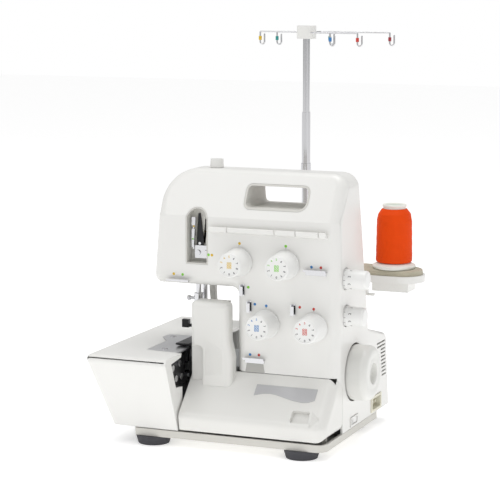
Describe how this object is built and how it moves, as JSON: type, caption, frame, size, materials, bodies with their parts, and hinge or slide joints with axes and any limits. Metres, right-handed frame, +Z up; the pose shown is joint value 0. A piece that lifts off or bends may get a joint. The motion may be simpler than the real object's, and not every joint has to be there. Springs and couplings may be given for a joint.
{
  "type": "overlock sewing machine",
  "caption": "Table-top overlock machine: column with overhanging arm, front tension dials, swing-out cloth plate, tilting looper cover, side handwheel and rear telescopic thread stand.",
  "frame": {"origin": "on the table, under the middle of the machine's overall footprint", "axes": "+X to the handwheel side, +Y to the thread stand at the back, +Z up; the front faces -Y"},
  "size_m": [0.312, 0.247, 0.449],
  "materials": {
    "body_plastic": "satin moulded plastic",
    "base_plastic": "fine grained",
    "foot_rubber": "matt",
    "dial_plastic": "satin moulded plastic",
    "grip_grey": "matt",
    "polished_steel": "polished",
    "satin_steel": "brushed",
    "black_steel": "semi-gloss",
    "casting": "as cast",
    "silver_band": "satin",
    "foam": "open-cell foam",
    "thread": "wound thread",
    "cone_plastic": "matt",
    "ivory_plastic": "matt",
    "belt_rubber": "matt",
    "motor_paint": "satin",
    "bead_plastic": "gloss",
    "bronze": "sintered"
  },
  "bodies": {
    "machine": {"bar_bushes": "bronze", "base_pan": "base_plastic", "bed_cover": "casting", "drive_belt": "belt_rubber", "foam_mat": "foam", "front_cover": "body_plastic", "lower_knife": "satin_steel", "machine_frame": "casting", "main_shaft_bushes": "bronze", "motor": "motor_paint", "needle_plate": "satin_steel", "needle_thread_guide": "polished_steel", "opening_liners": "body_plastic", "pivot_pins": "satin_steel", "pole_lower": "polished_steel", "power_inlet": "ivory_plastic", "power_switch": "ivory_plastic", "rear_cover": "body_plastic", "rubber_feet": "foot_rubber", "screws": "polished_steel", "side_cover": "body_plastic", "spool_pins": "body_plastic", "spool_tray": "body_plastic", "springs": "satin_steel", "stand_bracket": "body_plastic", "tension_studs": "polished_steel", "thread_guides": "polished_steel", "thread_ledge": "body_plastic"},
    "drive": {"handwheel": "dial_plastic", "main_shaft": "satin_steel"},
    "motor_rotor": {"motor_pulley": "satin_steel"},
    "needle_carrier": {"needle_bar": "polished_steel", "needle_clamp": "polished_steel"},
    "take_up": {"take_up_lever": "satin_steel"},
    "presser": {"presser_bar": "polished_steel", "presser_foot": "black_steel"},
    "lifter": {"presser_lifter": "ivory_plastic"},
    "pressure_knob": {"pressure_screw": "grip_grey"},
    "left_needle_dial": {"tension_dial_left_upper_needle": "dial_plastic"},
    "right_needle_dial": {"tension_dial_right_upper_needle": "dial_plastic"},
    "upper_looper_dial": {"tension_dial_upper_looper": "dial_plastic"},
    "lower_looper_dial": {"tension_dial_lower_looper": "dial_plastic"},
    "stitch_dial": {"stitch_length_dial": "dial_plastic"},
    "feed_dial": {"differential_feed_dial": "dial_plastic"},
    "plate": {"cloth_plate": "body_plastic"},
    "cover_slide_rod": {"looper_cover_rod": "satin_steel"},
    "front_lower_cover": {"looper_cover": "body_plastic", "looper_cover_band": "silver_band", "finger_guard": "body_plastic"},
    "knife": {"upper_knife": "black_steel"},
    "looper_up": {"upper_looper": "polished_steel"},
    "looper_down": {"lower_looper": "polished_steel"},
    "feed": {"feed_dog": "satin_steel"},
    "rocker": {"switch_rocker": "dial_plastic"},
    "mast": {"pole_upper": "polished_steel"},
    "guide_head": {"guide_block": "body_plastic", "guide_wires": "polished_steel", "guide_beads": "bead_plastic"},
    "thread_cone": {"cone_spool": "cone_plastic", "wound_thread": "thread"}
  },
  "joints": [
    {"name": "handwheel_turn", "type": "hinge", "parent": "machine", "child": "drive", "pos_m": [0.11, 0.001, 0.079], "axis": [1, 0, 0], "continuous": true},
    {"name": "motor_turn", "type": "hinge", "parent": "machine", "child": "motor_rotor", "pos_m": [0.06, 0.082, 0.066], "axis": [1, 0, 0], "continuous": true},
    {"name": "needle_bar_stroke", "type": "slide", "parent": "machine", "child": "needle_carrier", "axis": [0, 0, 1], "range_m": [-0.016, 0.01]},
    {"name": "take_up_swing", "type": "hinge", "parent": "machine", "child": "take_up", "pos_m": [-0.0558, -0.0416, 0.217], "axis": [0, 1, 0], "range_deg": [-6, 6]},
    {"name": "lifter_swing", "type": "hinge", "parent": "machine", "child": "lifter", "pos_m": [-0.06, 0.002, 0.186], "axis": [1, 0, 0], "range_deg": [0, 35]},
    {"name": "presser_lift", "type": "slide", "parent": "machine", "child": "presser", "axis": [0, 0, 1], "range_m": [0, 0.003]},
    {"name": "pressure_screw_turn", "type": "hinge", "parent": "machine", "child": "pressure_knob", "pos_m": [-0.05, -0.0085, 0.3], "axis": [0, 0, 1], "range_deg": [-180, 180]},
    {"name": "left_needle_tension", "type": "hinge", "parent": "machine", "child": "left_needle_dial", "pos_m": [-0.0055, -0.065, 0.201], "axis": [0, 1, 0], "range_deg": [-150, 150]},
    {"name": "right_needle_tension", "type": "hinge", "parent": "machine", "child": "right_needle_dial", "pos_m": [0.0485, -0.065, 0.201], "axis": [0, 1, 0], "range_deg": [-150, 150]},
    {"name": "upper_looper_tension", "type": "hinge", "parent": "machine", "child": "upper_looper_dial", "pos_m": [0.026, -0.065, 0.1355], "axis": [0, 1, 0], "range_deg": [-150, 150]},
    {"name": "lower_looper_tension", "type": "hinge", "parent": "machine", "child": "lower_looper_dial", "pos_m": [0.0805, -0.065, 0.1355], "axis": [0, 1, 0], "range_deg": [-150, 150]},
    {"name": "stitch_length_turn", "type": "hinge", "parent": "machine", "child": "stitch_dial", "pos_m": [0.12, -0.029, 0.186], "axis": [1, 0, 0], "range_deg": [-135, 135]},
    {"name": "differential_turn", "type": "hinge", "parent": "machine", "child": "feed_dial", "pos_m": [0.118, -0.0265, 0.1456], "axis": [1, 0, 0], "range_deg": [-120, 120]},
    {"name": "cloth_plate_swing", "type": "hinge", "parent": "machine", "child": "plate", "pos_m": [-0.068, 0.1, 0.08], "axis": [0, 0, 1], "range_deg": [-88, 0]},
    {"name": "looper_cover_shift", "type": "slide", "parent": "machine", "child": "cover_slide_rod", "axis": [1, 0, 0], "range_m": [0, 0.008]},
    {"name": "looper_cover_tilt", "type": "hinge", "parent": "cover_slide_rod", "child": "front_lower_cover", "pos_m": [0.02, -0.086, 0.027], "axis": [1, 0, 0], "range_deg": [0, 78]},
    {"name": "upper_knife_swing", "type": "hinge", "parent": "machine", "child": "knife", "pos_m": [-0.06, -0.052, 0.072], "axis": [1, 0, 0], "range_deg": [0, 12]},
    {"name": "upper_looper_swing", "type": "hinge", "parent": "machine", "child": "looper_up", "pos_m": [-0.049, -0.017, 0.041], "axis": [1, 0, 0], "range_deg": [-12, 10]},
    {"name": "lower_looper_swing", "type": "hinge", "parent": "machine", "child": "looper_down", "pos_m": [-0.043, -0.03, 0.035], "axis": [1, 0, 0], "range_deg": [-10, 10]},
    {"name": "feed_dog_travel", "type": "slide", "parent": "machine", "child": "feed", "axis": [0, 1, 0], "range_m": [-0.0015, 0.0035]},
    {"name": "rocker_tilt", "type": "hinge", "parent": "machine", "child": "rocker", "pos_m": [0.104, 0, 0.025], "axis": [0, 0, 1], "range_deg": [-8, 0]},
    {"name": "mast_slide", "type": "slide", "parent": "machine", "child": "mast", "axis": [0, 0, 1], "range_m": [-0.08, 0]},
    {"name": "guide_head_turn", "type": "hinge", "parent": "mast", "child": "guide_head", "pos_m": [0.0145, 0.097, 0.441], "axis": [0, 0, 1], "range_deg": [-45, 45]},
    {"name": "cone_lift", "type": "slide", "parent": "machine", "child": "thread_cone", "axis": [0, 0, 1], "range_m": [0, 0.06]}
  ],
  "couplings": [
    {"joint": "motor_turn", "follows": "handwheel_turn", "ratio": 3},
    {"joint": "lifter_swing", "follows": "presser_lift", "rad_per_m": 203.6}
  ]
}
